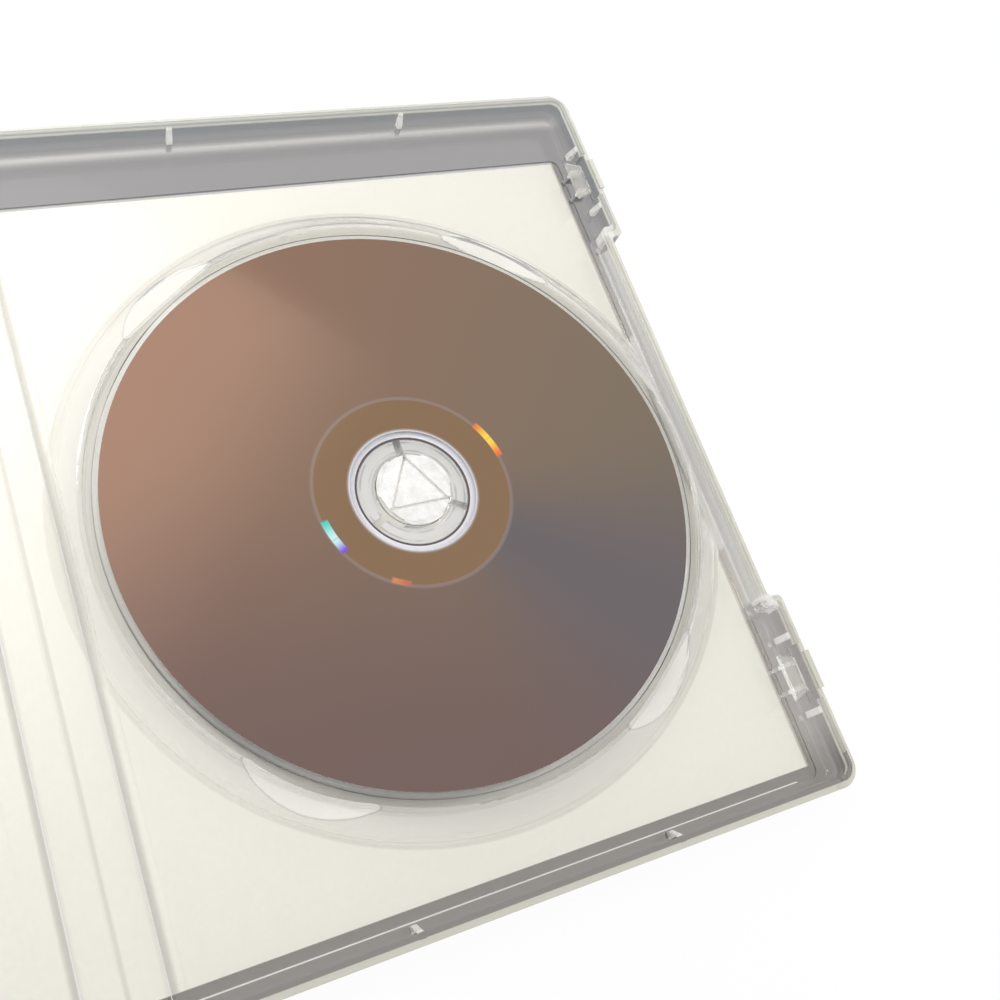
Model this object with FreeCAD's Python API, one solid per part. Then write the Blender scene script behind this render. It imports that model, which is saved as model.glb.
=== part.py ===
import FreeCAD, Part
import math
import os

os.makedirs("parts", exist_ok=True)

Vec = FreeCAD.Vector
ORIGIN = Vec(0, 0, 0)
UP = Vec(0, 0, 1)
ALONG_X = Vec(1, 0, 0)
ALONG_Y = Vec(0, 1, 0)

# The case lies open and flat: the spine runs along Y through the origin, the disc tray is on +X
# and the front cover on -X. Z = 0 is the table. All sizes are in millimetres and degrees.

# Closed case, as it stands on a shelf
closed_width = 135.0
case_height = 171.0
closed_thickness = 14.5
corner_radius = 4.5
foot_radius = 0.9

# Clear moulded sheet, with a shallow pocket under it for the printed paper and its film
pocket_depth = 0.4
panel_thickness = 0.9
pocket_border = 1.2
pocket_bottom_border = 3.8
pocket_corner = 2.0
header_height = 13.6

# Living hinges
web_thickness = 0.35
hinge_slit = 0.1
bevel_setback = 0.15
spine_clearance = 0.75
spine_rib_width = 1.4
spine_rib_height = 0.25
spine_rib_end = 12.0

# Tray wall: an inner lip stands above an outer shoulder
rim_height = 8.4
wall_thickness = 2.2
lip_thickness = 1.0
lip_height = 0.8
rim_round = 0.3
plinth_width = 0.5
plinth_height = 2.5
plinth_round = 0.2
foot_fillet = 0.45

# Cover wall, which closes over the tray's lip
lip_side_gap = 0.25
lip_top_gap = 0.3

# Thumb notch in the opening edge
notch_depth = 3.1
notch_length = 90.0
notch_corner = 1.3

# Disc
disc_radius = 60.0
disc_hole_radius = 7.5
disc_thickness = 1.2
disc_edge_round = 0.15
disc_edge_distance = 68.6
disc_below_middle = 5.1

# Raised ring round the disc, hollow below, with finger scoops
seat_height = 2.3
ring_gap = 1.4
ring_over_disc = 0.3
ring_crest = 1.0
ring_round = 0.6
ring_width = 6.6
ring_toe = 0.4
ring_sheet = 0.9
scoop_angle = 54.0
scoop_radius = 30.0
scoop_floor = 1.1

# Hub that holds the disc: three petals round a triangular push plate
seat_inner_gap = 0.7
seat_width = 4.2
seat_slot = 1.6
seat_round = 0.3
petal_disc_gap = 0.3
petal_leg = 0.9
petal_sheet = 0.75
petal_slope = 0.35
petal_slit = 0.7
petal_foot_gap = 0.3
grip_overhang = 0.15
grip_height = 0.45
grip_gap = 0.15
grip_half_width = 4.0
plate_inradius = 3.2
plate_corner = 0.4
plate_sheet = 0.75
plate_round = 0.2
fold_slit = 0.45
hub_rise = 0.9

# Snap catches on the opening edge and the cover's hooks for them
latch_from_middle = 61.8
latch_recess_length = 11.7
latch_recess_depth = 3.8
latch_post_length = 8.0
catch_inner_length = 9.7
catch_outer_length = 7.2
catch_reach = 3.6
catch_drop = 1.6
catch_sheet = 1.0
catch_slot = 1.4
catch_rib_spacing = 5.2
catch_rib_thickness = 1.0
catch_rib_setback = 1.2
guard_rib_spacing = 16.0
guard_rib_thickness = 1.4
rib_round = 0.25
hook_gap = 0.3
hook_length = 6.4
hook_below_catch = 0.4
hook_bead = 0.2

# Stiffening ribs on the wall, the shelf along the bottom wall and the bar beside the hinge
wall_rib_spacing = 52.0
wall_rib_thickness = 1.2
wall_rib_reach = 1.6
wall_rib_drop = 0.3
shelf_width = 2.2
shelf_height = 0.5
shelf_round = 0.3
shelf_end = 7.6
bar_width = 1.6
bar_height = 0.9
cover_band_width = 4.2
cover_band_height = 0.5

# Booklet clips inside the front cover
clip_from_edge = 20.0
clip_from_middle = 52.0
clip_width = 14.0
clip_reach = 8.0
clip_sheet = 1.1
clip_opening = 2.2

# Printed paper and the clear film over it
film_thickness = 0.12
film_rise = 0.05
film_margin = 0.25
paper_thickness = 0.2
paper_side_margin = 0.8
paper_bottom_margin = 2.6
paper_top_margin = 1.0

# Overshoot of cutting tools past the faces that they cut
over = 1.0

# Levels and places that follow from the sizes above
floor_z = pocket_depth + panel_thickness
hinge_z = pocket_depth + web_thickness
spine_width = closed_thickness - 2 * hinge_z
hinge_x = spine_width / 2
edge_x = hinge_x - hinge_z + closed_width
half_height = case_height / 2
wall_start_x = hinge_x + floor_z - hinge_z + spine_clearance
shoulder = wall_thickness - lip_thickness
shoulder_z = rim_height - lip_height
wall_x = edge_x - wall_thickness
wall_y = half_height - wall_thickness
disc_centre = Vec(edge_x - disc_edge_distance, -disc_below_middle, 0)
seat_z = floor_z + seat_height
disc_top = seat_z + disc_thickness
cover_wall = shoulder - lip_side_gap
cover_rim_z = closed_thickness - shoulder_z - lip_top_gap
pocket_top_y = half_height - header_height
pocket_bottom_y = -half_height + pocket_bottom_border
pocket_x = edge_x - notch_depth - pocket_border
catch_top = rim_height - catch_drop
catch_outer_x = edge_x - shoulder - catch_slot
catch_inner_x = catch_outer_x - catch_reach


def rounded_face(corners):
    """Flat face on Z = 0 from corners (x, y, radius), with arcs at the rounded corners."""
    starts = []
    ends = []
    arcs = []
    count = len(corners)
    for index, (x, y, radius) in enumerate(corners):
        here = Vec(x, y, 0)
        before = Vec(corners[index - 1][0], corners[index - 1][1], 0)
        after = Vec(corners[(index + 1) % count][0], corners[(index + 1) % count][1], 0)
        back = (before - here).normalize()
        ahead = (after - here).normalize()
        half_angle = back.getAngle(ahead) / 2
        starts.append(here + back * (radius / math.tan(half_angle)))
        ends.append(here + ahead * (radius / math.tan(half_angle)))
        if radius > 0:
            inward = (back + ahead).normalize()
            middle = here + inward * (radius / math.sin(half_angle) - radius)
            arcs.append(Part.Arc(starts[-1], middle, ends[-1]).toShape())
        else:
            arcs.append(None)
    edges = []
    for index in range(count):
        if arcs[index]:
            edges.append(arcs[index])
        edges.append(Part.LineSegment(ends[index], starts[(index + 1) % count]).toShape())
    return Part.Face(Part.Wire(edges))


def upright(face, low, high):
    """Prism of a plan face between two heights."""
    prism = face.extrude(UP * (high - low))
    prism.translate(UP * low)
    return prism


def box(x0, x1, y0, y1, z0, z1):
    return Part.makeBox(x1 - x0, y1 - y0, z1 - z0, Vec(x0, y0, z0))


def side_prism(points, y0, y1):
    """Prism along Y of a closed outline given as (x, z) points."""
    outline = Part.makePolygon([Vec(x, y0, z) for x, z in points + points[:1]])
    return Part.Face(outline).extrude(ALONG_Y * (y1 - y0))


def turned(corners):
    """Solid turned about the disc's axis; corners (radius, z, rounding) run anticlockwise."""
    profile = rounded_face(corners)
    profile.rotate(ORIGIN, ALONG_X, 90)
    solid = profile.revolve(ORIGIN, UP, 360)
    solid.translate(disc_centre)
    return solid


def half_plan(inset, start_x):
    """Plan of a case half from start_x to the opening edge, with the thumb notch, drawn in by inset."""
    right = edge_x - inset
    top = half_height - inset
    notch_y = notch_length / 2 + inset
    notch_x = right - notch_depth
    outer = max(corner_radius - inset, notch_corner)
    return rounded_face([
        (start_x, -top, 0),
        (right, -top, outer),
        (right, -notch_y, notch_corner),
        (notch_x, -notch_y, notch_corner),
        (notch_x, notch_y, notch_corner),
        (right, notch_y, notch_corner),
        (right, top, outer),
        (start_x, top, 0),
    ])


def level_edges(solid, z, from_x):
    """Edges of a solid that lie flat at height z, apart from those at the hinge end."""
    tolerance = 1e-4
    edges = []
    for edge in solid.Edges:
        bounds = edge.BoundBox
        flat = abs(bounds.ZMin - z) < tolerance and abs(bounds.ZMax - z) < tolerance
        if flat and bounds.XMax > from_x + tolerance:
            edges.append(edge)
    return edges


def edges_along(solid, z, inset):
    """Edges of a case half at height z that run along its plan drawn in by inset."""
    tolerance = 1e-4
    outline = half_plan(inset, hinge_x - over).OuterWire
    outline.translate(UP * z)
    edges = []
    for edge in level_edges(solid, z, hinge_x):
        middle = edge.valueAt((edge.FirstParameter + edge.LastParameter) / 2)
        if Part.Vertex(middle).distToShape(outline)[0] < tolerance:
            edges.append(edge)
    return edges


def pan(rim_z):
    """Outer block of a case half with its lower and upper outside edges rounded."""
    block = upright(half_plan(0, hinge_x), 0, rim_z)
    block = block.makeFillet(foot_radius, level_edges(block, 0, hinge_x))
    return block.makeFillet(rim_round, edges_along(block, rim_z, 0))


def cavity(inset, low, high, fillet):
    """Cutting tool for the inside of a case half, with a rounded foot, open at the hinge."""
    start_x = hinge_x - over
    tool = upright(half_plan(inset, start_x), low, high)
    return tool.makeFillet(fillet, level_edges(tool, low, start_x))


def hinge_bevel():
    """Cutting tool that leaves the thin web and the slanted edge at a living hinge, for the +X side."""
    slit_x = hinge_x + hinge_slit / 2
    bevel_x = hinge_x + bevel_setback
    top_x = bevel_x + floor_z - hinge_z
    points = [
        (slit_x, -over),
        (slit_x, hinge_z),
        (bevel_x, hinge_z),
        (top_x, floor_z),
        (wall_start_x, floor_z),
        (wall_start_x, rim_height + over),
        (hinge_x - over, rim_height + over),
        (hinge_x - over, -over),
    ]
    return side_prism(points, -half_height - over, half_height + over)


def sleeve_pocket():
    """Cutting tool for the shallow pocket under a case half."""
    plan = rounded_face([
        (hinge_x - over, pocket_bottom_y, 0),
        (pocket_x, pocket_bottom_y, pocket_corner),
        (pocket_x, pocket_top_y, pocket_corner),
        (hinge_x - over, pocket_top_y, 0),
    ])
    return upright(plan, -over, pocket_depth)


def scoop(angle, radius):
    """Ball that presses one finger scoop into the ring."""
    centre = disc_centre + Vec(math.cos(math.radians(angle)), math.sin(math.radians(angle)), 0) * disc_radius
    return Part.makeSphere(radius, centre + UP * (floor_z + scoop_floor + scoop_radius))


def disc_ring():
    """Raised ring round the disc as a formed sheet: its outer body and the hollow below it."""
    inner = disc_radius + ring_gap
    crest_z = disc_top + ring_over_disc
    crest_end = inner + ring_crest
    outer = inner + ring_width
    body = turned([
        (inner, floor_z - pocket_depth / 2, 0),
        (outer, floor_z - pocket_depth / 2, 0),
        (outer, floor_z, 0),
        (outer - ring_toe, floor_z + ring_toe, ring_toe),
        (crest_end, crest_z, ring_round),
        (inner, crest_z, ring_round),
    ])
    hollow = turned([
        (inner + ring_sheet, -over, 0),
        (outer - ring_toe - ring_sheet, -over, 0),
        (outer - ring_toe - ring_sheet, floor_z + ring_toe - ring_sheet, 0),
        (crest_end, crest_z - ring_sheet, 0),
        (inner + ring_sheet, crest_z - ring_round - ring_sheet, 0),
    ])
    angles = (scoop_angle, 180 - scoop_angle, 180 + scoop_angle, -scoop_angle)
    body = body.cut([scoop(angle, scoop_radius) for angle in angles])
    hollow = hollow.cut([scoop(angle, scoop_radius + ring_sheet) for angle in angles])
    inside = upright(half_plan(wall_thickness - lip_thickness, wall_start_x), -over, rim_height)
    core = upright(half_plan(wall_thickness + ring_sheet, wall_start_x + ring_sheet), -over, rim_height)
    return body.common(inside), hollow.common(core)


def hub_seat():
    """Slotted ring on the tray floor that carries the disc round its hole."""
    inner = disc_hole_radius + seat_inner_gap
    outer = inner + seat_width
    ring = turned([
        (inner, floor_z - pocket_depth / 2, 0),
        (outer, floor_z - pocket_depth / 2, 0),
        (outer, floor_z, 0),
        (outer - seat_height / 2, seat_z, seat_round),
        (inner, seat_z, seat_round),
    ])
    slots = []
    for angle in (90, 210, 330):
        slot = box(inner - over, outer + over, -seat_slot / 2, seat_slot / 2, floor_z, seat_z + over)
        slot.rotate(ORIGIN, UP, angle)
        slot.translate(disc_centre)
        slots.append(slot)
    return ring.cut(slots)


def wall_rib(reach, thickness, top):
    """Upright rib on a wall face at X = 0 that stands out towards -X, centred on Y = 0."""
    points = [
        (wall_thickness / 2, floor_z - pocket_depth / 2),
        (wall_thickness / 2, top),
        (0, top),
        (-reach, top - 2 * reach),
        (-reach, floor_z - pocket_depth / 2),
    ]
    rib = side_prism(points, -thickness / 2, thickness / 2)
    return rib.makeFillet(rib_round, free_edges(rib, 0))


def free_edges(rib, from_x):
    """Long edges of a rib's free side, which stands out past from_x towards -X."""
    edges = []
    for edge in rib.Edges:
        bounds = edge.BoundBox
        if bounds.YLength < rib_round and bounds.XMin < from_x and bounds.ZMax > floor_z:
            edges.append(edge)
    return edges


def tray_ribs():
    """Ribs on the top and bottom walls, mirrored about the disc."""
    ribs = []
    for side in (-1, 1):
        for turn in (-90, 90):
            rib = wall_rib(wall_rib_reach, wall_rib_thickness, rim_height - wall_rib_drop)
            rib.rotate(ORIGIN, UP, turn)
            wall_side = 1 if turn > 0 else -1
            rib.translate(Vec(disc_centre.x + side * wall_rib_spacing / 2, wall_side * wall_y, 0))
            ribs.append(rib)
    return ribs


def latch(middle_y):
    """Snap catch on the opening edge: the pieces to add to the wall and the recess cut in its lip first."""
    recess = box(wall_x - wall_thickness, edge_x - shoulder,
                 middle_y - latch_recess_length / 2, middle_y + latch_recess_length / 2,
                 rim_height - latch_recess_depth, rim_height + over)
    post = box(edge_x - shoulder, edge_x,
               middle_y - latch_post_length / 2, middle_y + latch_post_length / 2,
               shoulder_z - lip_height, rim_height)
    catch = upright(rounded_face([
        (catch_inner_x, middle_y - catch_inner_length / 2, 0),
        (catch_outer_x, middle_y - catch_outer_length / 2, 0),
        (catch_outer_x, middle_y + catch_outer_length / 2, 0),
        (catch_inner_x, middle_y + catch_inner_length / 2, 0),
    ]), catch_top - catch_sheet, catch_top)
    catch = catch.makeFillet(rib_round, level_edges(catch, catch_top, hinge_x))
    pieces = [post, catch]
    for side in (-1, 1):
        rib_y = middle_y + side * catch_rib_spacing / 2
        rib = side_prism([
            (catch_inner_x, floor_z - pocket_depth / 2),
            (catch_inner_x + catch_rib_setback, catch_top - catch_sheet / 2),
            (catch_outer_x, catch_top - catch_sheet / 2),
            (catch_outer_x, floor_z - pocket_depth / 2),
        ], rib_y - catch_rib_thickness / 2, rib_y + catch_rib_thickness / 2)
        slant_x = catch_inner_x + catch_rib_setback / 2
        rib_edges = [edge for edge in free_edges(rib, slant_x) if edge.BoundBox.ZLength > rib_round]
        pieces.append(rib.makeFillet(rib_round, rib_edges))
        guard = wall_rib(wall_rib_reach, guard_rib_thickness, rim_height - wall_rib_drop)
        guard.translate(Vec(wall_x, middle_y + side * guard_rib_spacing / 2, 0))
        pieces.append(guard)
    return recess, pieces


def bottom_shelf():
    """Low shelf along the tray's bottom wall."""
    plan = rounded_face([
        (wall_start_x, -wall_y - lip_thickness, 0),
        (wall_x - shelf_end, -wall_y - lip_thickness, 0),
        (wall_x - shelf_end, -wall_y + shelf_width, shelf_width / 2),
        (wall_start_x, -wall_y + shelf_width, 0),
    ])
    shelf_top = floor_z + shelf_height
    shelf = upright(plan, floor_z - pocket_depth / 2, shelf_top)
    edges = [edge for edge in level_edges(shelf, shelf_top, wall_start_x) if edge.BoundBox.YMax > -wall_y]
    return shelf.makeFillet(shelf_round, edges)


def hinge_side_bar(width, height):
    """Low bar with a slanted inner side that stiffens a case half beside its hinge."""
    return side_prism([
        (wall_start_x, floor_z - pocket_depth / 2),
        (wall_start_x, floor_z + height),
        (wall_start_x + width - height, floor_z + height),
        (wall_start_x + width, floor_z - pocket_depth / 2),
    ], -wall_y, wall_y)


def tray_shell():
    plinth_z = floor_z + plinth_height
    plinth_inset = wall_thickness + plinth_width
    shell = pan(shoulder_z)
    shell = shell.fuse(upright(half_plan(shoulder, hinge_x), floor_z - pocket_depth, rim_height))
    shell = shell.cut([
        cavity(wall_thickness, plinth_z, rim_height + over, foot_fillet / 2),
        cavity(plinth_inset, floor_z, plinth_z + over / 2, foot_fillet),
    ])
    lip_edges = edges_along(shell, rim_height, shoulder) + edges_along(shell, rim_height, wall_thickness)
    shell = shell.makeFillet(rim_round, lip_edges)
    shell = shell.makeFillet(plinth_round, edges_along(shell, plinth_z, plinth_inset))
    ring, hollow = disc_ring()
    additions = [ring, hub_seat(), bottom_shelf(), hinge_side_bar(bar_width, bar_height)] + tray_ribs()
    recesses = []
    for side in (-1, 1):
        recess, pieces = latch(side * latch_from_middle)
        recesses.append(recess)
        additions += pieces
    shell = shell.cut(recesses)
    shell = shell.fuse(additions)
    shell = shell.cut([hollow, sleeve_pocket(), hinge_bevel()])
    return shell.removeSplitter()


def front_cover():
    """Front cover, modelled on +X like the tray and then mirrored to its own side of the spine."""
    shell = pan(cover_rim_z)
    shell = shell.cut(cavity(cover_wall, floor_z, cover_rim_z + over, foot_fillet))
    additions = [hinge_side_bar(cover_band_width, cover_band_height)]
    clearances = []
    hook_outer_x = edge_x - shoulder - hook_gap
    hook_inner_x = catch_outer_x + hook_gap
    hook_tip_z = closed_thickness - (catch_top - catch_sheet - hook_below_catch)
    bead_z = closed_thickness - (catch_top - catch_sheet)
    for side in (-1, 1):
        middle_y = side * latch_from_middle
        additions.append(side_prism([
            (hook_inner_x, floor_z - pocket_depth / 2),
            (hook_inner_x, bead_z),
            (hook_inner_x - hook_bead, (bead_z + hook_tip_z) / 2),
            (hook_inner_x, hook_tip_z),
            (hook_outer_x, hook_tip_z),
            (hook_outer_x, floor_z - pocket_depth / 2),
        ], middle_y - hook_length / 2, middle_y + hook_length / 2))
        reach = latch_post_length / 2 + hook_gap
        clearances.append(box(edge_x - cover_wall - over, edge_x + over, middle_y - reach, middle_y + reach,
                              closed_thickness - rim_height - lip_top_gap, cover_rim_z + over))
        clip_x = edge_x - clip_from_edge
        clip_top = floor_z + clip_opening + clip_sheet
        clip_y = side * clip_from_middle
        additions.append(side_prism([
            (clip_x, floor_z - pocket_depth / 2),
            (clip_x, floor_z + clip_opening),
            (clip_x - clip_reach, floor_z + clip_opening),
            (clip_x - clip_reach, floor_z + clip_opening + clip_sheet / 2),
            (clip_x - clip_reach + clip_sheet, clip_top),
            (clip_x + clip_sheet, clip_top),
            (clip_x + clip_sheet, floor_z - pocket_depth / 2),
        ], clip_y - clip_width / 2, clip_y + clip_width / 2))
    shell = shell.cut(clearances)
    shell = shell.fuse(additions)
    shell = shell.cut([sleeve_pocket(), hinge_bevel()])
    return shell.removeSplitter().mirror(ORIGIN, ALONG_X)


def spine_panel():
    """Spine between the two living hinges, with slanted edges and a low rib down its middle."""
    slit_x = hinge_x - hinge_slit / 2
    bevel_x = hinge_x - bevel_setback
    top_x = bevel_x - floor_z + hinge_z
    half_outline = [(slit_x, 0), (slit_x, hinge_z), (bevel_x, hinge_z), (top_x, floor_z)]
    outline = half_outline + [(-x, z) for x, z in reversed(half_outline)]
    plate = side_prism(outline, -half_height, half_height)
    rib_half = half_height - spine_rib_end
    rib = side_prism([
        (-spine_rib_width / 2, floor_z - pocket_depth / 2),
        (-spine_rib_width / 2 + spine_rib_height, floor_z + spine_rib_height),
        (spine_rib_width / 2 - spine_rib_height, floor_z + spine_rib_height),
        (spine_rib_width / 2, floor_z - pocket_depth / 2),
    ], -rib_half, rib_half)
    pocket = box(-hinge_x - over, hinge_x + over, pocket_bottom_y, pocket_top_y, -over, pocket_depth)
    return plate.fuse(rib).cut(pocket).removeSplitter()


def disc():
    """Disc with its data side up, on the hub seat, centred over the hub."""
    return turned([
        (disc_hole_radius, seat_z, disc_edge_round),
        (disc_radius, seat_z, disc_edge_round),
        (disc_radius, disc_top, disc_edge_round),
        (disc_hole_radius, disc_top, disc_edge_round),
    ])


def hub_petal(angle):
    """Petal of the hub: a sloping segment beside the push plate, a springy leg and a grip over the disc."""
    radius = disc_hole_radius - petal_disc_gap
    fold_x = plate_inradius + fold_slit
    foot_z = floor_z + petal_foot_gap
    top_z = disc_top + hub_rise
    leg_x = radius - petal_leg
    rim_z = top_z - petal_slope
    bent_sheet = side_prism([
        (fold_x, top_z),
        (radius + over, rim_z),
        (radius + over, foot_z),
        (leg_x, foot_z),
        (leg_x, rim_z - petal_sheet),
        (fold_x, top_z - petal_sheet),
    ], -disc_hole_radius, disc_hole_radius)
    petal = bent_sheet.common(Part.makeCylinder(radius, rim_height))
    grip_low = disc_top + grip_gap
    grip = Part.makeCylinder(disc_hole_radius + grip_overhang, grip_height, UP * grip_low)
    grip = grip.cut(Part.makeCylinder(radius - petal_leg / 2, grip_height, UP * grip_low))
    band = box(0, disc_radius, -grip_half_width, grip_half_width, grip_low, grip_low + grip_height)
    grip = grip.common(band)
    slit_apex = petal_slit / (2 * math.sin(math.radians(60)))
    spread = (disc_radius - slit_apex) * math.tan(math.radians(60))
    sector = upright(rounded_face([(slit_apex, 0, 0), (disc_radius, -spread, 0), (disc_radius, spread, 0)]),
                     0, rim_height)
    petal = petal.fuse(grip.common(bent_sheet)).common(sector).removeSplitter()
    petal.rotate(ORIGIN, UP, angle)
    petal.translate(disc_centre)
    return petal


def hub_button():
    """Triangular push plate in the middle of the hub."""
    reach = 2 * plate_inradius
    corners = []
    for angle in (90, 210, 330):
        direction = math.radians(angle)
        corners.append((reach * math.cos(direction), reach * math.sin(direction), plate_corner))
    top_z = disc_top + hub_rise
    plate = upright(rounded_face(corners), top_z - plate_sheet, top_z)
    plate = plate.makeFillet(plate_round, level_edges(plate, top_z, -reach))
    plate.translate(disc_centre)
    return plate


def panel_sheets(inner_x, outer_x):
    """Paper and film under one panel, from inner_x to outer_x of the pocket."""
    film_top = film_rise + film_thickness
    film = box(inner_x, outer_x - film_margin, pocket_bottom_y + film_margin, pocket_top_y - film_margin,
               film_rise, film_top)
    paper = box(inner_x, outer_x - paper_side_margin, pocket_bottom_y + paper_bottom_margin,
                pocket_top_y - paper_top_margin, film_top, film_top + paper_thickness)
    return paper, film


def spine_sheets():
    """Paper and film under the spine, as wide as the spine between its hinge slits."""
    inner = hinge_x - hinge_slit
    return [
        box(-inner, inner, sheet.BoundBox.YMin, sheet.BoundBox.YMax, sheet.BoundBox.ZMin, sheet.BoundBox.ZMax)
        for sheet in panel_sheets(-inner, inner)
    ]


paper_back, film_back = panel_sheets(hinge_x + hinge_slit, pocket_x)
paper_spine, film_spine = spine_sheets()

pieces = {
    "tray_shell": tray_shell(),
    "spine_panel": spine_panel(),
    "front_cover": front_cover(),
    "disc": disc(),
    "hub_button": hub_button(),
    "hub_petal_1": hub_petal(270),
    "hub_petal_2": hub_petal(30),
    "hub_petal_3": hub_petal(150),
    "insert_back": paper_back,
    "insert_spine": paper_spine,
    "insert_front": paper_back.mirror(ORIGIN, ALONG_X),
    "sleeve_back": film_back,
    "sleeve_spine": film_spine,
    "sleeve_front": film_back.mirror(ORIGIN, ALONG_X),
}

for name, shape in pieces.items():
    solids = shape.Solids
    print(name, "solids", len(solids), "valid", shape.isValid(), "volume", round(shape.Volume, 1))
    solid = solids[0] if len(solids) == 1 else shape
    solid.exportStep("parts/" + name + ".step")
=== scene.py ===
import math

import bmesh
import bpy
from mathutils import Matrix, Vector


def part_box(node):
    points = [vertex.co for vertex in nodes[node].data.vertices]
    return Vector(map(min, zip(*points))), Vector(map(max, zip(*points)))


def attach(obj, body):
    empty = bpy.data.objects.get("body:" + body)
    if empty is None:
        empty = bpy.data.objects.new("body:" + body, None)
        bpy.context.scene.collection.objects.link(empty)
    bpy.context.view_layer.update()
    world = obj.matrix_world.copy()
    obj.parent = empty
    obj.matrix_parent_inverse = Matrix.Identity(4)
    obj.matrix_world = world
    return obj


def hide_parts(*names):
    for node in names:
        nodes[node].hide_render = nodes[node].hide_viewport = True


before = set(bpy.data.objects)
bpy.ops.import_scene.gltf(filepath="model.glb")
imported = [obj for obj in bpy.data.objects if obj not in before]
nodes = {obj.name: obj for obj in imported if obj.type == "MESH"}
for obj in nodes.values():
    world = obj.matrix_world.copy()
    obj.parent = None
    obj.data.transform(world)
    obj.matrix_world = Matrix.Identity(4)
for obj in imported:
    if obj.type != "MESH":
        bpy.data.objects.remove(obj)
scene = bpy.context.scene
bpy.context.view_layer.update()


# Clear shells: the tray, the spine and the cover are one injection moulding of clear plastic with two
# living hinges. The thin floor is bright where paper lies under it. The bare border and the walls carry
# painted shade, a smoky grey that stands for the shadowed floor seen through plastic with no paper behind
# it. The rims, ribs and catches scatter light and turn milky, and some edges carry painted highlights.
class Finish:
    def __init__(self, name):
        self.material = bpy.data.materials.new(name)
        self.material.use_nodes = True
        self.shader = self.material.node_tree.nodes["Principled BSDF"]
        self.surface = self.material.node_tree.nodes["Material Output"].inputs["Surface"]

    def node(self, kind, **settings):
        made = self.material.node_tree.nodes.new(kind)
        for name, value in settings.items():
            setattr(made, name, value)
        return made

    def join(self, source, socket):
        self.material.node_tree.links.new(source, socket)

    def feed(self, socket_name, source):
        self.join(source, self.shader.inputs[socket_name])

    def set(self, socket_name, value):
        self.shader.inputs[socket_name].default_value = value

    def place(self):
        return self.node("ShaderNodeTexCoord").outputs["Object"]

    def axes(self, vector):
        made = self.node("ShaderNodeSeparateXYZ")
        self.join(vector, made.inputs["Vector"])
        return made.outputs["X"], made.outputs["Y"], made.outputs["Z"]

    def calculate(self, operation, *values):
        made = self.node("ShaderNodeMath", operation=operation)
        for socket, value in zip(made.inputs, values):
            if isinstance(value, (int, float)):
                socket.default_value = value
            else:
                self.join(value, socket)
        return made.outputs["Value"]

    def overlap(self, share, *others):
        for other in others:
            share = self.calculate("MULTIPLY", share, other)
        return share

    def either(self, share, *others):
        for other in others:
            share = self.calculate("MAXIMUM", share, other)
        return share

    def rest_of(self, share):
        return self.calculate("SUBTRACT", 1, share)

    def distance(self, first, *others):
        square = self.calculate("MULTIPLY", first, first)
        for leg in others:
            square = self.calculate("MULTIPLY_ADD", leg, leg, square)
        return self.calculate("SQRT", square)

    def ramp(self, value, low, high, start=0, end=1):
        made = self.node("ShaderNodeMapRange", interpolation_type="SMOOTHSTEP")
        made.inputs["From Min"].default_value = low
        made.inputs["From Max"].default_value = high
        made.inputs["To Min"].default_value = start
        made.inputs["To Max"].default_value = end
        self.join(value, made.inputs["Value"])
        return made.outputs["Result"]

    def line(self, value, middle, half_width, fade_end, strength=1):
        away = self.calculate("ABSOLUTE", self.calculate("SUBTRACT", value, middle))
        return self.ramp(away, half_width, fade_end, strength, 0)

    def blend(self, share, first, second):
        made = self.node("ShaderNodeMix", data_type="RGBA", clamp_factor=True)
        sockets = [socket for socket in made.inputs if socket.type == "RGBA"]
        for socket, value in zip(sockets, (first, second)):
            if isinstance(value, tuple):
                socket.default_value = (*value, 1)
            else:
                self.join(value, socket)
        self.join(share, made.inputs["Factor"])
        return [socket for socket in made.outputs if socket.type == "RGBA"][0]

    def noise(self, place, scale, detail, stretch=None):
        made = self.node("ShaderNodeTexNoise")
        made.inputs["Scale"].default_value = scale
        made.inputs["Detail"].default_value = detail
        if stretch is not None:
            mapping = self.node("ShaderNodeMapping")
            mapping.inputs["Scale"].default_value = stretch
            self.join(place, mapping.inputs["Vector"])
            place = mapping.outputs["Vector"]
        self.join(place, made.inputs["Vector"])
        return made.outputs["Fac"]

    def bump(self, height, strength, distance):
        made = self.node("ShaderNodeBump")
        made.inputs["Strength"].default_value = strength
        made.inputs["Distance"].default_value = distance
        self.join(height, made.inputs["Height"])
        self.feed("Normal", made.outputs["Normal"])

    def let_light_through(self, lamps, room):
        shown = self.shader.outputs["BSDF"]
        light_path = self.node("ShaderNodeLightPath")
        for ray, share in (("Is Diffuse Ray", room), ("Is Shadow Ray", lamps)):
            clear = self.node("ShaderNodeBsdfTransparent")
            clear.inputs["Color"].default_value = (share, share, share, 1)
            mix = self.node("ShaderNodeMixShader")
            self.join(light_path.outputs[ray], mix.inputs["Fac"])
            self.join(shown, mix.inputs[1])
            self.join(clear.outputs["BSDF"], mix.inputs[2])
            shown = mix.outputs["Shader"]
        self.join(shown, self.surface)


def dress(node_name, finish):
    mesh = nodes[node_name].data
    mesh.materials.clear()
    mesh.materials.append(finish.material)


disc_centre = Vector((0.07215, -0.0051, 0))
shell = Finish("clear_shell_plastic")
place = shell.place()
across, along, height = shell.axes(place)
sideways = shell.calculate("ABSOLUTE", across)
lengthways = shell.calculate("ABSOLUTE", along)
from_disc_x = shell.calculate("SUBTRACT", across, disc_centre.x)
from_disc_y = shell.calculate("SUBTRACT", along, disc_centre.y)
from_axis = shell.distance(from_disc_y, from_disc_x)

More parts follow.
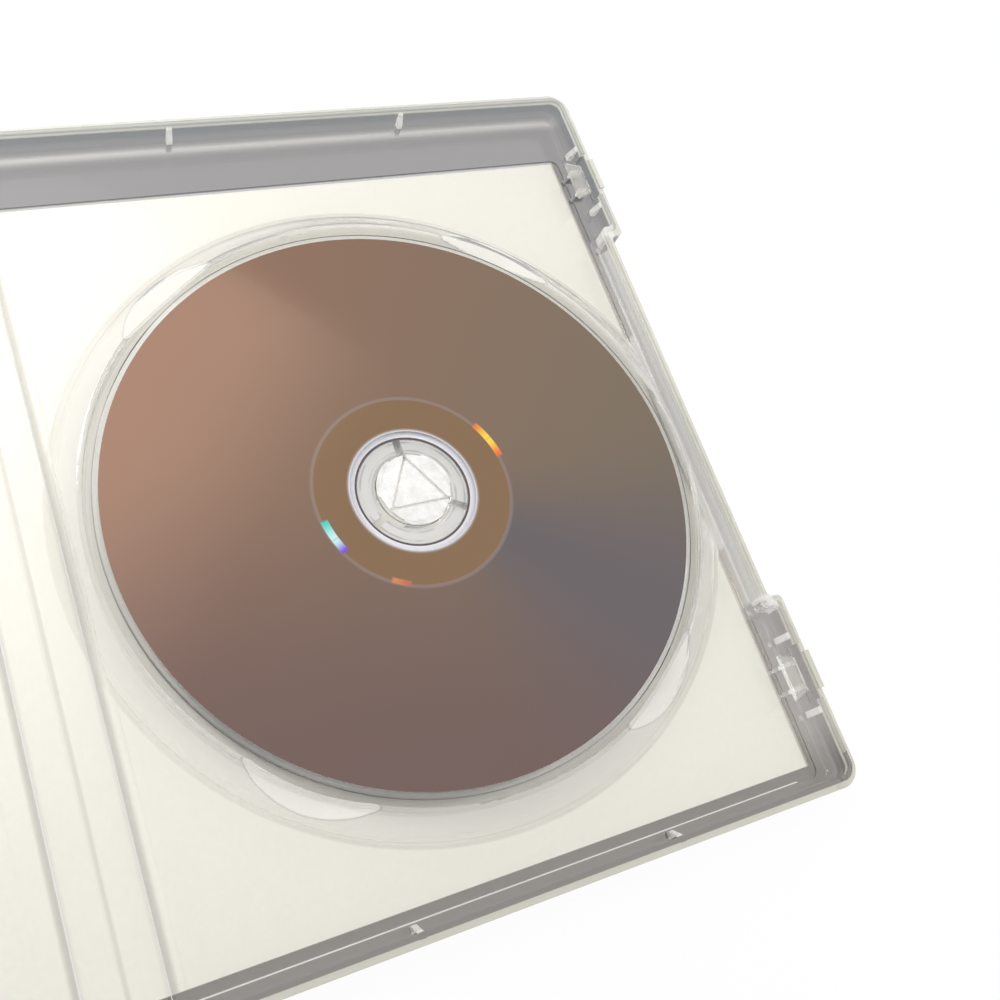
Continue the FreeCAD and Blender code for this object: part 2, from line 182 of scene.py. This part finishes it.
# Zones in plan. Each pair of lengths gives where a zone begins and ends its fade.
paper_side = (0.1345, 0.1347)
paper_top = (0.0708, 0.0710)
paper_bottom = (-0.0792, -0.0790)
ring_inside = (0.06066, 0.06099)
ring_outside = (0.06797, 0.06826)
notch_wall = (0.1352, 0.1354)
notch_end = (0.0440, 0.0450)
tray_ends = (-0.083, 0.083)
lower_corner = (-0.082, -0.070)
past_ring = shell.either(shell.ramp(from_axis, *ring_outside), shell.ramp(sideways, *notch_wall))
past_side = shell.overlap(shell.ramp(sideways, *paper_side), past_ring)
past_top = shell.ramp(along, *paper_top)
past_bottom = shell.ramp(along, *paper_bottom, 1, 0)
bare = shell.either(past_top, past_bottom, past_side)
towards_top = shell.ramp(along, *tray_ends)
beside = shell.overlap(past_side, shell.ramp(along, *lower_corner))
beside_notch = shell.overlap(shell.ramp(lengthways, *notch_end, 1, 0), past_side)


# Picks the painted shade by side: one tint along the bottom, one beside the paper and one along the top.
def painted_shade_by_side(at_bottom, at_side, at_top):
    return shell.blend(towards_top, shell.blend(beside, at_bottom, at_side), at_top)


# Painted shade on the border, the plinth step and the wall, with a tint each for the bottom, the side and
# the top: darker from the floor up and darkest along the bottom. The thumb notch is lighter, and its foot
# is darker towards the top.
border_at_top = (0.36, 0.352, 0.352)
border_at_side = (0.43, 0.405, 0.385)
border_at_bottom = (0.285, 0.27, 0.25)
step_at_ends = (0.28, 0.28, 0.28)
step_at_side = (0.38, 0.36, 0.345)
wall_at_top = (0.26, 0.27, 0.28)
wall_at_side = (0.36, 0.335, 0.32)
wall_at_bottom = (0.16, 0.152, 0.138)
in_the_notch = (0.58, 0.575, 0.555)
notch_foot_at_top = (0.36, 0.345, 0.33)
notch_foot_at_bottom = (0.57, 0.54, 0.50)
step_rise = (0.0026, 0.0036)
wall_rise = (0.0040, 0.0046)
notch_foot_rise = (0.0032, 0.0036)
border = painted_shade_by_side(border_at_bottom, border_at_side, border_at_top)
step_tint = painted_shade_by_side(step_at_ends, step_at_side, step_at_ends)
border = shell.blend(shell.ramp(height, *step_rise), border, step_tint)
wall_tint = painted_shade_by_side(wall_at_bottom, wall_at_side, wall_at_top)
border = shell.blend(shell.ramp(height, *wall_rise), border, wall_tint)
notch_foot = shell.blend(towards_top, notch_foot_at_bottom, notch_foot_at_top)
notch_tint = shell.blend(shell.ramp(height, *notch_foot_rise), notch_foot, in_the_notch)
border = shell.blend(beside_notch, border, notch_tint)

# Rim: the shoulder is milky and the lip on it less so. The cover's shoulder is lower than the tray's.
# The rim is painted darker at the bottom than at the top, which is painted shade.
rim_at_top = (0.80, 0.795, 0.70)
rim_at_bottom = (0.68, 0.67, 0.575)
cover_edge = (-0.0066, -0.0064)
cover_shoulder_drop = 0.0018
shoulder_rise = (0.0068, 0.0074)
lip_rise = (0.0077, 0.0083)
lip_outside = (0.1395, 0.1397)
lip_haze = 0.6
lip_haze_at_bottom = 0.15
rim_height = shell.calculate("ADD", height, shell.ramp(across, *cover_edge, cover_shoulder_drop, 0))
lip_share = shell.either(
    shell.ramp(rim_height, *lip_rise, 1, 0),
    shell.ramp(past_bottom, 0, 1, lip_haze, lip_haze_at_bottom),
    shell.ramp(sideways, *lip_outside),
)
rim_share = shell.overlap(shell.ramp(rim_height, *shoulder_rise), lip_share)
border = shell.blend(rim_share, border, shell.blend(towards_top, rim_at_bottom, rim_at_top))

# Ribs and catches: what stands on the plinth inside the walls, apart from the corners and the notch.
# They are painted pale: partly their milky plastic, partly painted light.
pale_ribs_and_painted_highlights = (0.95, 0.94, 0.90)
plinth_rise = (0.0039, 0.0041)
rib_side = (0.1383, 0.1385)
rib_end = (0.0830, 0.0832)
corner_side = (0.1344, 0.1346)
corner_end = (0.0790, 0.0792)
catch_middle = 0.0618
catch_width = (0.0044, 0.0047)
catch_rise = (0.0057, 0.0059)
catch_clearness = 0.75
near_corner = shell.overlap(shell.ramp(sideways, *corner_side), shell.ramp(lengthways, *corner_end))
rib_share = shell.overlap(
    shell.ramp(height, *plinth_rise),
    shell.ramp(sideways, *rib_side, 1, 0),
    shell.ramp(lengthways, *rib_end, 1, 0),
    shell.rest_of(shell.either(near_corner, beside_notch)),
)
border = shell.blend(rib_share, border, pale_ribs_and_painted_highlights)
catch_share = shell.overlap(
    shell.line(lengthways, catch_middle, *catch_width),
    shell.ramp(height, *catch_rise, 0, catch_clearness),
)

# Painted highlights: pale lines along the shelf's edge, the notch's step and the foot of the top wall,
# where rounded edges would catch the light.
floor_rise = (0.0014, 0.0016)
shelf_edge = -0.08125
shelf_rise = (0.0019, 0.0021)
shelf_line_width = (0.0001, 0.0002)
shelf_line_strength = 0.8
step_line_rise = (0.0034, 0.0037)
step_line_strength = 0.4
top_wall_foot = 0.0827
foot_line_width = (0.0001, 0.0018)
foot_line_rise = (0.0016, 0.0024)
foot_line_strength = 0.45
above_floor = shell.ramp(height, *floor_rise)
shelf_highlight = shell.overlap(
    shell.line(along, shelf_edge, *shelf_line_width, shelf_line_strength),
    above_floor,
    shell.ramp(height, *shelf_rise, 1, 0),
)
step_highlight = shell.overlap(
    shell.ramp(height, *step_line_rise, 0, step_line_strength),
    shell.ramp(height, *plinth_rise, 1, 0),
    beside_notch,
)
foot_highlight = shell.overlap(
    shell.line(along, top_wall_foot, *foot_line_width, foot_line_strength),
    shell.ramp(height, *foot_line_rise, 1, 0),
)
painted_edge_highlights = shell.either(step_highlight, foot_highlight)
border = shell.blend(shelf_highlight, border, pale_ribs_and_painted_highlights)
border = shell.blend(painted_edge_highlights, border, pale_ribs_and_painted_highlights)

# Floor over the paper, with the ring round the disc, its finger scoops, the hub's seat and the hinges.
over_paper = (0.992, 0.990, 0.968)
on_the_ring = (0.905, 0.90, 0.87)
painted_scoop_highlight = (0.985, 0.98, 0.955)
painted_scoop_outline = (0.66, 0.655, 0.635)
on_the_seat = (0.80, 0.795, 0.775)
painted_ridge_shade = (0.48, 0.475, 0.46)
painted_hinge_shade = (0.76, 0.76, 0.74)
scoop_middle = Vector((0.03527, 0.04854, 0.0324))
scoop_radius = 0.030
scoop_skin = (0.00006, 0.00012)
scoop_edge_place = 0.00014
scoop_edge_width = (0.00005, 0.00014)
seat_edge = (0.01265, 0.01414)
groove_radii = (0.0088, 0.0106)
groove_width = (0.0001, 0.0003)
groove_break = (0.42, 0.58)
groove_strength = (0.1, 0.9)
hinge_place = 0.0071
hinge_width = (0.0002, 0.0010)
spine_line_place = 0.0002
spine_line_width = (0.0001, 0.0007)
spine_line_strength = 0.7
ring_share = shell.overlap(shell.ramp(from_axis, *ring_inside), shell.rest_of(past_ring))
from_scoop_middle = shell.distance(
    shell.calculate("SUBTRACT", height, scoop_middle.z),
    shell.calculate("SUBTRACT", shell.calculate("ABSOLUTE", from_disc_y), scoop_middle.y),
    shell.calculate("SUBTRACT", shell.calculate("ABSOLUTE", from_disc_x), scoop_middle.x),
)
from_scoop = shell.calculate("SUBTRACT", from_scoop_middle, scoop_radius)
scoop_share = shell.ramp(from_scoop, *scoop_skin, 1, 0)
scoop_edge = shell.overlap(shell.line(from_scoop, scoop_edge_place, *scoop_edge_width), above_floor)
# Painted highlight: the scoops are painted pale, with a darker painted shade line round their edges.
ring_tint = shell.blend(scoop_share, on_the_ring, painted_scoop_highlight)
ring_tint = shell.blend(scoop_edge, ring_tint, painted_scoop_outline)
open_floor = shell.blend(ring_share, over_paper, ring_tint)
on_seat = shell.overlap(shell.ramp(from_axis, *seat_edge, 1, 0), above_floor)
# Painted shade: dark lines on the hub's seat where its moulded ridges would shade, broken up along their
# length.
ridge_shade_lines = shell.either(*[shell.line(from_axis, radius, *groove_width) for radius in groove_radii])
ridge_shade_strength = shell.ramp(shell.noise(place, scale=160, detail=1), *groove_break, *groove_strength)
seat_tint = shell.blend(shell.overlap(ridge_shade_lines, ridge_shade_strength), on_the_seat, painted_ridge_shade)
open_floor = shell.blend(on_seat, open_floor, seat_tint)
# Painted shade: grey lines along both hinges and down the middle of the spine, where their creases would
# shade.
hinge_shade_share = shell.either(
    shell.line(sideways, hinge_place, *hinge_width),
    shell.line(across, spine_line_place, *spine_line_width, spine_line_strength),
)
open_floor = shell.blend(hinge_shade_share, open_floor, painted_hinge_shade)

# The plastic itself, from clear to milky, with a little handling wear in its gloss. The painted highlight
# lines and the scoops' painted highlight are made milky too, so that they show pale.
rib_haze = 0.45
ring_haze = 0.3
scoop_haze = 0.4
clear_to_milky = (0.97, 0.35)
wear_range = (0.35, 0.70)
shell_roughness = (0.13, 0.17)
lamp_share = 0.98
shell_room_share = 0.87
cloudy_ribs = shell.overlap(rib_share, rib_haze, shell.rest_of(catch_share))
milky = shell.either(
    shell.overlap(bare, shell.either(rim_share, cloudy_ribs, painted_edge_highlights, shelf_highlight)),
    on_seat,
    shell.overlap(ring_share, ring_haze, above_floor),
    shell.overlap(scoop_share, shell.ramp(ring_share, 0, 1, 0, scoop_haze)),
)
wear = shell.noise(place, scale=40, detail=2)
shell.feed("Base Color", shell.blend(bare, open_floor, border))
shell.feed("Transmission Weight", shell.ramp(milky, 0, 1, *clear_to_milky))
shell.feed("Roughness", shell.ramp(wear, *wear_range, *shell_roughness))
shell.set("IOR", 1.2)
shell.set("Coat Weight", 0.8)
shell.set("Coat Roughness", 0.08)
shell.set("Coat IOR", 1.49)
shell.let_light_through(lamp_share, shell_room_share)
for name in ("tray_shell", "spine_panel", "front_cover"):
    dress(name, shell)


# Push hub: a three-cornered plate and three petals in the same clear plastic, moulded with the tray
# and cut free of it so that they spring. Flow from the gate in the plate leaves them faintly hazy.
hub_grey = (0.88, 0.875, 0.855)
hub_white = (0.95, 0.945, 0.93)
haze_range = (0.3, 0.7)
hub_clearness = (0.55, 0.3)
hub_roughness = (0.03, 0.08)
small_piece_room_share = 0.95
hub = Finish("clear_hub_plastic")
haze = hub.noise(hub.place(), scale=420, detail=3)
hub.feed("Base Color", hub.blend(haze, hub_grey, hub_white))
hub.feed("Transmission Weight", hub.ramp(haze, *haze_range, *hub_clearness))
hub.feed("Roughness", hub.ramp(haze, *haze_range, *hub_roughness))
hub.bump(haze, strength=0.6, distance=0.0006)
hub.set("IOR", 1.45)
hub.let_light_through(lamp_share, small_piece_room_share)
for name in ("hub_button", "hub_petal_1", "hub_petal_2", "hub_petal_3"):
    dress(name, hub)


# Sleeve film: a thin clear film welded round the outside of the shells, which holds the paper. It is
# glossy and slightly rippled where it isn't pulled tight.
film_cool = (0.93, 0.94, 0.95)
film_warm = (0.97, 0.97, 0.96)
ripple_range = (0.3, 0.7)
film_roughness = (0.05, 0.12)
film_thickness = 0.00007
film_slack = 0.00002
ripple_step = 0.005
ripple_middle = 0.6
ripple_swing = 0.4
ripples_across = 7
ripples_along = 19
film_edge_angle = 40
film = Finish("sleeve_film")
ripples = film.noise(film.place(), scale=70, detail=2, stretch=(1, 0.35, 1))
film.feed("Base Color", film.blend(ripples, film_cool, film_warm))
film.feed("Roughness", film.ramp(ripples, *ripple_range, *film_roughness))
film.bump(ripples, strength=0.25, distance=0.0006)
film.set("Alpha", 0.08)


def link_piece(name, shape, body):
    bmesh.ops.recalc_face_normals(shape, faces=shape.faces)
    mesh = bpy.data.meshes.new(name)
    shape.to_mesh(mesh)
    shape.free()
    piece = bpy.data.objects.new(name, mesh)
    scene.collection.objects.link(piece)
    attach(piece, body)
    return piece


def film_panel(name, node, body):
    low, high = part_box(node)
    width = high.x - low.x
    length = high.y - low.y
    columns = max(2, round(width / ripple_step))
    rows = max(2, round(length / ripple_step))
    panel = bmesh.new()
    strips = []
    for column in range(columns + 1):
        share = column / columns
        strip = []
        for row in range(rows + 1):
            reach = row / rows
            held = math.sin(math.pi * share) * math.sin(math.pi * reach)
            wave = ripple_middle + ripple_swing * math.sin(ripples_across * share + ripples_along * reach)
            spot = (low.x + width * share, low.y + length * reach, low.z + film_slack * held * wave)
            strip.append(panel.verts.new(spot))
        strips.append(strip)
    for here, there in zip(strips, strips[1:]):
        for row in range(rows):
            panel.faces.new((here[row], here[row + 1], there[row + 1], there[row]))
    sheet = bmesh.ops.extrude_face_region(panel, geom=panel.faces[:], use_keep_orig=True)
    inside = [item for item in sheet["geom"] if isinstance(item, bmesh.types.BMVert)]
    bmesh.ops.translate(panel, verts=inside, vec=(0, 0, film_thickness))
    piece = link_piece(name, panel, body)
    piece.data.shade_smooth()
    piece.data.set_sharp_from_angle(angle=math.radians(film_edge_angle))
    piece.data.materials.append(film.material)
    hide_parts(node)


film_panel("film_on_back", "sleeve_back", "tray")
film_panel("film_on_spine", "sleeve_spine", "spine")
film_panel("film_on_front", "sleeve_front", "cover")


# Insert paper: one coated sheet that runs behind the cover, the spine and the tray. The face towards
# the inside is left unprinted. The outer face carries plain fields of colour.
white_paper = (0.985, 0.95, 0.865)
shaded_fibre = (0.96, 0.925, 0.84)
slate_field = (0.05, 0.085, 0.13)
pale_band = (0.55, 0.59, 0.62)
teal_round = (0.09, 0.27, 0.30)
grey_panel = (0.27, 0.31, 0.34)
round_middle = Vector((-0.072, -0.012))
round_edge = (0.04147, 0.04171)
panel_top = (-0.0101, -0.0099)
back_edge = (0.0064, 0.0066)
band_foot = (0.0519, 0.0521)
fibre_range = (0.35, 0.65)
turned_outward = (-0.6, -0.4)
bare_to_printed_roughness = (0.75, 0.22)
paper = Finish("insert_paper")
place = paper.place()
across, along = paper.axes(place)[:2]
fibre = paper.noise(place, scale=1400, detail=2)
blank = paper.blend(paper.ramp(fibre, *fibre_range), shaded_fibre, white_paper)
from_round = paper.distance(
    paper.calculate("SUBTRACT", along, round_middle.y),
    paper.calculate("SUBTRACT", across, round_middle.x),
)
printed = paper.blend(paper.ramp(from_round, *round_edge, 1, 0), slate_field, teal_round)
panel_share = paper.overlap(paper.ramp(along, *panel_top, 1, 0), paper.ramp(across, *back_edge))
printed = paper.blend(panel_share, printed, grey_panel)
printed = paper.blend(paper.ramp(along, *band_foot), printed, pale_band)
facing_up = paper.axes(paper.node("ShaderNodeTexCoord").outputs["Normal"])[2]
outer_face = paper.ramp(facing_up, *turned_outward, 1, 0)
paper.feed("Base Color", paper.blend(outer_face, blank, printed))
paper.feed("Roughness", paper.ramp(outer_face, 0, 1, *bare_to_printed_roughness))
paper.bump(paper.overlap(fibre, paper.ramp(outer_face, 0, 1, 1, 0)), strength=0.1, distance=0.00005)
for name in ("insert_back", "insert_spine", "insert_front"):
    dress(name, paper)


# Game disc: a clear polycarbonate plate with a thin bronze-coloured metal layer just under the face
# that shows. The hub zone and the outer rim are left bare and clear. The other face carries the label
# ink, whose white base shows as a pale ring round the hub zone. Inside it lies a thin dark plum ring,
# a painted reflection at the label's level.
disc_low, disc_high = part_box("disc")
hole = 0.0075
rim = 0.0600
metal_inside = 0.0128
metal_outside = 0.0588
reflection_ring_inside = 0.0113
ink_inside = 0.0117
ink_outside = 0.0587
edge_break = 0.00015
metal_thickness = 0.00004
ink_thickness = 0.00006
seat_gap = 0.00003
underside = disc_low.z + seat_gap
face = disc_high.z
metal_low = face - metal_thickness
ink_low = underside + ink_thickness
ink_high = ink_low + ink_thickness


def turned_ring(name, profile, steps=192):
    ring = bmesh.new()
    rows = []
    for step in range(steps):
        turn = math.tau * step / steps
        outward = Vector((math.cos(turn), math.sin(turn), 0))
        row = []
        for reach, level in profile:
            row.append(ring.verts.new(disc_centre + outward * reach + Vector((0, 0, level))))
        rows.append(row)
    count = len(profile)
    for step in range(steps):
        here = rows[step]
        there = rows[(step + 1) % steps]
        for corner in range(count):
            after = (corner + 1) % count
            ring.faces.new((here[corner], there[corner], there[after], here[after]))
    piece = link_piece(name, ring, "tray")
    return piece


disc_body = turned_ring(
    "disc_body",
    [
        (hole + edge_break, underside),
        (rim - edge_break, underside),
        (rim, underside + edge_break),
        (rim, face - edge_break),
        (rim - edge_break, face),
        (metal_outside, face),
        (metal_outside, metal_low),
        (metal_inside, metal_low),
        (metal_inside, face),
        (hole + edge_break, face),
        (hole, face - edge_break),
        (hole, underside + edge_break),
    ],
)
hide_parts("disc")
disc_metal_layer = turned_ring(
    "disc_metal_layer",
    [(metal_inside, metal_low), (metal_outside, metal_low), (metal_outside, face), (metal_inside, face)],
)
disc_label = turned_ring(
    "disc_label",
    [(ink_inside, ink_low), (ink_outside, ink_low), (ink_outside, ink_high), (ink_inside, ink_high)],
)
disc_reflection_ring = turned_ring(
    "disc_reflection_ring",
    [(reflection_ring_inside, ink_low), (ink_inside, ink_low), (ink_inside, ink_high), (reflection_ring_inside, ink_high)],
)

# The clear plate, with faint wipe marks in its gloss.
plate_grey = (0.985, 0.985, 0.985)
plate_white = (1.0, 1.0, 1.0)
wipe_range = (0.4, 0.7)
plate_roughness = (0.01, 0.06)
plate = Finish("disc_clear_plastic")
wiped = plate.noise(plate.place(), scale=180, detail=3)
plate.feed("Base Color", plate.blend(wiped, plate_grey, plate_white))
plate.feed("Roughness", plate.ramp(wiped, *wipe_range, *plate_roughness))
plate.set("IOR", 1.58)
plate.set("Transmission Weight", 1)
plate.let_light_through(lamp_share, small_piece_room_share)
disc_body.data.materials.append(plate.material)

# The metal layer: painted reflections colour its tracks warm towards the upper left, plum towards the
# bottom and violet towards the lower right, for the room mirrored in them. The mirror band inside them
# is plain, and dust lies over both.
painted_warm_reflection = (0.265, 0.148, 0.098)
painted_grey_reflection = (0.195, 0.150, 0.103)
painted_violet_reflection = (0.128, 0.112, 0.125)
painted_plum_reflection = (0.160, 0.098, 0.090)
band_bronze = (0.245, 0.142, 0.074)
band_edge = (0.36, 0.30, 0.29)
painted_glow = (0.80, 0.82, 0.90)
fleck_grey = (0.75, 0.74, 0.72)
warm_fade = (-0.06, 0.06)
plum_fade = (-0.01, 0.055)
plum_strength = 0.9
tracks_start = (0.0198, 0.0202)
band_edge_start = (0.0197, 0.0200)
band_edge_end = (0.0203, 0.0208)
band_edge_strength = 0.35
glow_end = (0.0126, 0.0138)
fleck_size = (0.012, 0.022)
fleck_choice = (0.55, 0.60)
fleck_strength = 0.8
shiny_to_dull = (1, 0.2)
smear_range = (0.35, 0.75)
metal_roughness = (0.10, 0.15)
metal = Finish("disc_bronze_metal")
place = metal.place()
across, along = metal.axes(place)[:2]
across = metal.calculate("SUBTRACT", across, disc_centre.x)
along = metal.calculate("SUBTRACT", along, disc_centre.y)
radius = metal.distance(along, across)
angle = metal.calculate("ARCTAN2", along, across)


def leaning(towards):
    turn = math.radians(towards)
    rise = metal.calculate("MULTIPLY", along, math.sin(turn))
    return metal.calculate("MULTIPLY_ADD", across, math.cos(turn), rise)


def wedge(towards, sharpness, strength):
    facing = metal.either(metal.calculate("DIVIDE", leaning(towards), radius), 0)
    return metal.overlap(metal.calculate("POWER", facing, sharpness), strength)


painted_track_reflections = metal.blend(metal.ramp(leaning(towards=145), *warm_fade), painted_grey_reflection, painted_warm_reflection)
painted_track_reflections = metal.blend(metal.ramp(leaning(towards=-100), *plum_fade, 0, plum_strength), painted_track_reflections, painted_plum_reflection)
painted_track_reflections = metal.blend(wedge(towards=-40, sharpness=8, strength=0.9), painted_track_reflections, painted_violet_reflection)
bronze = metal.blend(metal.ramp(radius, *tracks_start), band_bronze, painted_track_reflections)
edge_share = metal.overlap(
    metal.ramp(radius, *band_edge_start, 0, band_edge_strength),
    metal.ramp(radius, *band_edge_end, 1, 0),
)
bronze = metal.blend(edge_share, bronze, band_edge)
# Painted glow: towards its inner edge the metal fades to a pale bloom, less metallic, next to the white
# ink.
glow_share = metal.calculate("POWER", metal.ramp(radius, *glow_end, 1, 0), 2)
bronze = metal.blend(glow_share, bronze, painted_glow)

# Painted glints: rainbow arcs on the mirror band where light catches it. Start and end in degrees, inside
# and outside radius, two colours.
red_light = (0.90, 0.16, 0.04)
yellow_light = (1.0, 0.72, 0.08)
orange_light = (0.85, 0.22, 0.05)
green_light = (0.08, 0.62, 0.55)
pale_light = (0.60, 0.90, 0.88)
blue_light = (0.20, 0.06, 0.72)
copper_light = (0.70, 0.24, 0.10)
rust_light = (0.48, 0.16, 0.10)
painted_rainbow_glints = (
    (10, 22, 0.0198, 0.0212, red_light, yellow_light),
    (22, 33, 0.0198, 0.0212, yellow_light, orange_light),
    (-172, -160, 0.0188, 0.0203, green_light, pale_light),
    (-160, -151, 0.0188, 0.0203, pale_light, blue_light),
    (-121, -110, 0.0192, 0.0203, copper_light, rust_light),
)
soft_angle = 1
soft_edge = 0.0001
for start, end, inside, outside, first_light, second_light in painted_rainbow_glints:
    glint_share = metal.overlap(
        metal.ramp(angle, math.radians(start - soft_angle), math.radians(start + soft_angle)),
        metal.ramp(angle, math.radians(end - soft_angle), math.radians(end + soft_angle), 1, 0),
        metal.ramp(radius, inside - soft_edge, inside + soft_edge),
        metal.ramp(radius, outside - soft_edge, outside + soft_edge, 1, 0),
    )
    along_glint = metal.ramp(angle, math.radians(start), math.radians(end))
    bronze = metal.blend(glint_share, bronze, metal.blend(along_glint, first_light, second_light))

dust = metal.node("ShaderNodeTexVoronoi")
dust.inputs["Scale"].default_value = 75
metal.join(place, dust.inputs["Vector"])
dust_colour = metal.node("ShaderNodeSeparateColor")
metal.join(dust.outputs["Color"], dust_colour.inputs["Color"])
fleck = metal.overlap(
    metal.ramp(dust.outputs["Distance"], *fleck_size, 1, 0),
    metal.ramp(dust_colour.outputs["Red"], *fleck_choice, 0, fleck_strength),
)
smears = metal.noise(place, scale=60, detail=3)
metal.feed("Base Color", metal.blend(fleck, bronze, fleck_grey))
metal.feed("Metallic", metal.ramp(metal.either(glow_share, fleck), 0, 1, *shiny_to_dull))
metal.feed("Roughness", metal.ramp(smears, *smear_range, *metal_roughness))
metal.set("Coat Weight", 0.6)
metal.set("Coat Roughness", 0.03)
metal.set("Coat IOR", 1.58)
disc_metal_layer.data.materials.append(metal.material)

# The label ink's white base, and the thin plum ring inside it, which is a painted reflection.
layer_grain_range = (0.3, 0.7)
layer_roughness = (0.4, 0.6)


def label_layer_finish(name, light, dark):
    layer = Finish(name)
    grain = layer.noise(layer.place(), scale=900, detail=2)
    layer.feed("Base Color", layer.blend(grain, light, dark))
    layer.feed("Roughness", layer.ramp(grain, *layer_grain_range, *layer_roughness))
    return layer.material


white_ink = label_layer_finish("label_white_ink", light=(0.90, 0.91, 0.96), dark=(0.84, 0.85, 0.90))
painted_reflection_ring = label_layer_finish("painted_reflection_plum", light=(0.09, 0.045, 0.055), dark=(0.07, 0.035, 0.045))
disc_label.data.materials.append(white_ink)
disc_reflection_ring.data.materials.append(painted_reflection_ring)


# Studio: a pale floor, an even white room and a panel over the case that the disc mirrors. A small lamp
# lights the hinge side, a larger one stands at the right, and a dark card shades the near end of the
# spine. The camera stands where the photograph was taken from.
floor_half = 3
floor_drop = 0.0002
floor_white_share = 0.8
panel_width = 0.75
panel_half_length = 0.6
panel_turn = 43
panel_strength = 1.0
panel_bright_end = (-0.11, 0.09)
panel_bright_gain = 0.5
card_half = 0.08
bounces = 6


def flat_sheet(name, low_x, high_x, half_length, finish):
    corners = [
        (low_x, -half_length, 0),
        (high_x, -half_length, 0),
        (high_x, half_length, 0),
        (low_x, half_length, 0),
    ]
    mesh = bpy.data.meshes.new(name)
    mesh.from_pydata(corners, [], [(0, 1, 2, 3)])
    mesh.materials.append(finish.material)
    sheet = bpy.data.objects.new(name, mesh)
    scene.collection.objects.link(sheet)
    return sheet


pale_floor = Finish("pale_floor")
pale_floor.set("Base Color", (0.93, 0.93, 0.93, 1))
pale_floor.set("Roughness", 0.9)
pale_floor.set("Specular IOR Level", 0)
seen = pale_floor.node("ShaderNodeLightPath")
looked_at = pale_floor.either(
    seen.outputs["Is Camera Ray"],
    seen.outputs["Is Glossy Ray"],
    seen.outputs["Is Transmission Ray"],
)
glow = pale_floor.node("ShaderNodeEmission")
floor_mix = pale_floor.node("ShaderNodeMixShader")
pale_floor.join(pale_floor.overlap(looked_at, floor_white_share), floor_mix.inputs["Fac"])
pale_floor.join(pale_floor.shader.outputs["BSDF"], floor_mix.inputs[1])
pale_floor.join(glow.outputs["Emission"], floor_mix.inputs[2])
pale_floor.join(floor_mix.outputs["Shader"], pale_floor.surface)
floor = flat_sheet("floor", -floor_half, floor_half, floor_half, pale_floor)
floor.location.z = -floor_drop

room = bpy.data.worlds.new("room")
room.use_nodes = True
scene.world = room
backdrop = room.node_tree.nodes["Background"]
backdrop.inputs["Color"].default_value = (1, 1, 1, 1)
backdrop.inputs["Strength"].default_value = 1.0

softbox = Finish("softbox_cloth")
softbox.material.cycles.emission_sampling = "NONE"
softbox.material.node_tree.nodes.remove(softbox.shader)
cloth = softbox.node("ShaderNodeEmission")
along = softbox.axes(softbox.place())[1]
brighter_end = softbox.ramp(along, *panel_bright_end, 0, panel_bright_gain)
softbox.join(softbox.calculate("ADD", brighter_end, panel_strength), cloth.inputs["Strength"])
softbox.join(cloth.outputs["Emission"], softbox.surface)
panel = flat_sheet("softbox_panel", -panel_width, 0, panel_half_length, softbox)
panel.location = (0.400, 0.537, 0.9)
panel.rotation_euler.z = math.radians(panel_turn)
panel.visible_camera = False


def soft_lamp(name, size, energy, location, target):
    lamp = bpy.data.lights.new(name, "AREA")
    lamp.size = size
    lamp.energy = energy
    stand = bpy.data.objects.new(name, lamp)
    stand.location = location
    stand.rotation_euler = (Vector(target) - stand.location).to_track_quat("-Z", "Y").to_euler()
    scene.collection.objects.link(stand)


soft_lamp("hinge_side_lamp", size=0.06, energy=0.13, location=(-0.06, 0.11, 0.12), target=(0.01, 0.02, 0))
soft_lamp("right_lamp", size=0.12, energy=0.38, location=(0.56, 0.0, 0.40), target=(0.12, -0.02, 0))

dark_card = Finish("dark_card")
dark_card.set("Base Color", (0.05, 0.05, 0.05, 1))
flag_card = flat_sheet("flag_card", -card_half, card_half, card_half, dark_card)
flag_card.location = (-0.012, -0.090, 0.22)
flag_card.visible_camera = False
flag_card.visible_glossy = False
flag_card.visible_transmission = False

camera = bpy.data.cameras.new("camera")
camera.sensor_width = 36
camera.lens = 43.495
camera.clip_start = 0.01
camera_stand = bpy.data.objects.new("camera", camera)
camera_stand.location = (-0.011556, -0.08384, 0.212527)
camera_stand.rotation_euler = (math.radians(25.3037), math.radians(-18.2648), math.radians(-20.5152))
scene.collection.objects.link(camera_stand)
scene.camera = camera_stand
scene.view_settings.view_transform = "Standard"
scene.cycles.max_bounces = bounces
scene.cycles.transmission_bounces = bounces
